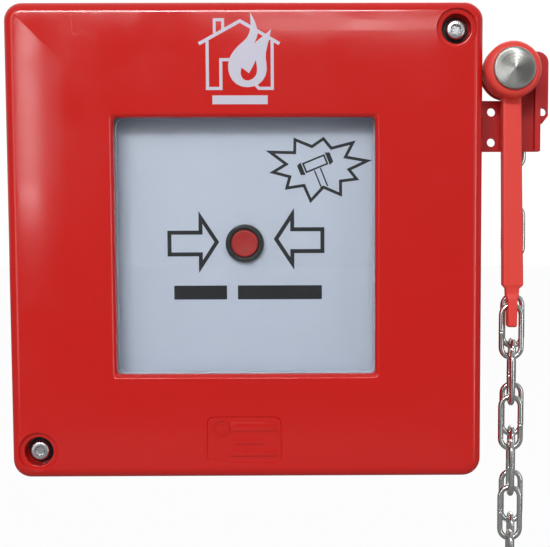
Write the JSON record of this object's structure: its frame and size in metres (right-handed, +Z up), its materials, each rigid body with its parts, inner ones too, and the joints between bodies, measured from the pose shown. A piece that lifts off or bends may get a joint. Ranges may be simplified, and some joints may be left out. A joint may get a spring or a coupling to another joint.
{
  "type": "manual call point",
  "caption": "Square red wall-mounted break-glass call point with a push button behind a window and a hammer tethered by a chain loop in a side bracket.",
  "frame": {"origin": "centre of the rear case's back face, on the wall plane", "axes": "+Z up, +X to the right as seen from the front, +Y into the wall; the front faces -Y"},
  "size_m": [0.1522, 0.0546, 0.1651],
  "materials": {
    "case_red": "glossy moulded plastic",
    "handle_red": "moulded plastic, slightly worn",
    "bracket_red": "red paint on sheet steel",
    "button_red": "moulded",
    "black_plastic": "moulded",
    "window_glass": "clear",
    "label_white": "printed plate",
    "rubber": "matt",
    "board_green": "solder mask",
    "terminal_grey": "moulded",
    "brass": "turned",
    "chain_zinc": "zinc plated",
    "striker_steel": "turned face",
    "screw_steel": "plain"
  },
  "bodies": {
    "case": {"rear_case": "case_red", "cable_grommet": "rubber", "thread_insert_upper": "brass", "thread_insert_lower": "brass", "cover_gasket": "rubber", "label_plate": "label_white", "label_screw_upper": "screw_steel", "label_screw_lower": "screw_steel", "button_bezel": "black_plastic", "button_nut": "black_plastic", "button_spring": "screw_steel", "switch_body": "black_plastic", "circuit_board": "board_green", "board_screw_1": "screw_steel", "board_screw_2": "screw_steel", "board_screw_3": "screw_steel", "board_screw_4": "screw_steel", "terminal_block": "terminal_grey", "terminal_screw_1": "screw_steel", "terminal_screw_2": "screw_steel", "terminal_screw_3": "screw_steel", "terminal_screw_4": "screw_steel", "hammer_bracket": "bracket_red", "bracket_screw_upper": "screw_steel", "bracket_screw_lower": "screw_steel", "chain_b_01": "chain_zinc", "chain_b_02": "chain_zinc", "chain_b_03": "chain_zinc", "chain_b_04": "chain_zinc", "chain_b_05": "chain_zinc", "chain_b_06": "chain_zinc", "chain_b_07": "chain_zinc", "chain_b_08": "chain_zinc", "chain_b_09": "chain_zinc", "chain_b_10": "chain_zinc"},
    "cover": {"front_cover": "case_red", "glass_gasket": "rubber", "glass_pane": "window_glass", "glass_retainer": "black_plastic", "retainer_screw_1": "screw_steel", "retainer_screw_2": "screw_steel", "retainer_screw_3": "screw_steel", "retainer_screw_4": "screw_steel", "screw_washer_upper": "screw_steel", "screw_washer_lower": "screw_steel"},
    "cover_screw_upper": {"cover_screw_upper": "screw_steel"},
    "cover_screw_lower": {"cover_screw_lower": "screw_steel"},
    "button": {"button_cap": "button_red", "stem_clip": "screw_steel"},
    "switch_lever": {"switch_lever": "brass"},
    "hammer": {"hammer_handle": "handle_red", "hammer_striker": "striker_steel", "chain_a_01": "chain_zinc", "chain_a_02": "chain_zinc", "chain_a_03": "chain_zinc", "chain_a_04": "chain_zinc", "chain_a_05": "chain_zinc", "chain_a_06": "chain_zinc"},
    "loop_link": {"chain_loop_link": "chain_zinc"}
  },
  "joints": [
    {"name": "cover_pull", "type": "slide", "parent": "case", "child": "cover", "axis": [0, -1, 0], "range_m": [0, 0.06]},
    {"name": "cover_screw_upper_turn", "type": "hinge", "parent": "cover", "child": "cover_screw_upper", "pos_m": [0.0586, -0.05, 0.0586], "axis": [0, -1, 0], "continuous": true},
    {"name": "cover_screw_lower_turn", "type": "hinge", "parent": "cover", "child": "cover_screw_lower", "pos_m": [-0.0586, -0.05, -0.0586], "axis": [0, -1, 0], "continuous": true},
    {"name": "button_press", "type": "slide", "parent": "case", "child": "button", "axis": [0, 1, 0], "range_m": [0, 0.0025], "stiffness_N_per_m": 400, "springref_m": -0.004, "deforming": ["button_spring"]},
    {"name": "switch_lever_swing", "type": "hinge", "parent": "case", "child": "switch_lever", "pos_m": [-0.0089, -0.0232, -0.0003], "axis": [0, 0, 1], "range_deg": [0, 17.5]},
    {"name": "hammer_lift", "type": "slide", "parent": "case", "child": "hammer", "axis": [0, 0, 1], "range_m": [0, 0.009]},
    {"name": "loop_link_rock", "type": "hinge", "parent": "case", "child": "loop_link", "pos_m": [0.0776, -0.03121, -0.094], "axis": [-0.9878, 0.1558, 0], "range_deg": [0, 36.5]}
  ],
  "couplings": [
    {"joint": "switch_lever_swing", "follows": "button_press", "rad_per_m": 117.09},
    {"joint": "loop_link_rock", "follows": "hammer_lift", "rad_per_m": 69.25}
  ]
}
